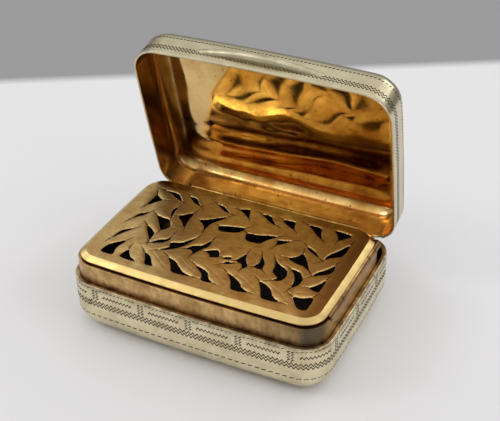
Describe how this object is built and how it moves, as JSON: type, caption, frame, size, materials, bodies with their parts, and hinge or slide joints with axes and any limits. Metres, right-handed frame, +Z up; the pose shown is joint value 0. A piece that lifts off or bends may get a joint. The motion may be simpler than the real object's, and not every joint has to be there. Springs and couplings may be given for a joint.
{
  "type": "vinaigrette",
  "caption": "Small rounded silver box with a hinged lid standing open, gilt inside, and a hinged grille pierced with leaves over a sponge.",
  "frame": {"origin": "centre of the flat underside of the body", "axes": "X along the long front, right when the front faces the viewer; Y from the front to the lid hinge; Z up"},
  "size_m": [0.034, 0.029, 0.0313],
  "materials": {
    "silver": "worn sterling silver, warm, engraved",
    "gilt": "fire-gilt silver",
    "worn_gilt": "worn gilding, reddish",
    "sponge": "natural sponge"
  },
  "bodies": {
    "base": {"body_tray": "silver", "bezel_band": "worn_gilt", "hinge_shelf": "gilt", "body_knuckle_left": "silver", "body_knuckle_middle": "silver", "body_knuckle_right": "silver", "lid_hinge_pin": "silver", "pin_plug_left": "silver", "pin_plug_right": "silver", "bezel_knuckle_front": "worn_gilt", "bezel_knuckle_rear": "worn_gilt", "grille_hinge_pin": "silver", "sponge": "sponge"},
    "lid": {"lid_shell": "silver", "lid_bearer": "gilt", "lid_knuckle_left": "silver", "lid_knuckle_right": "silver", "thumbpiece": "silver"},
    "grille": {"grille_plate": "gilt", "grille_skirt": "gilt", "grille_knuckle": "gilt"}
  },
  "joints": [
    {"name": "lid_hinge", "type": "hinge", "parent": "base", "child": "lid", "pos_m": [0, 0.01167, 0.0069], "axis": [-1, 0, 0], "range_deg": [-76.5, 28.5]},
    {"name": "grille_hinge", "type": "hinge", "parent": "base", "child": "grille", "pos_m": [0.01585, 0, 0.00935], "axis": [0, 1, 0], "range_deg": [0, 2.8]}
  ]
}
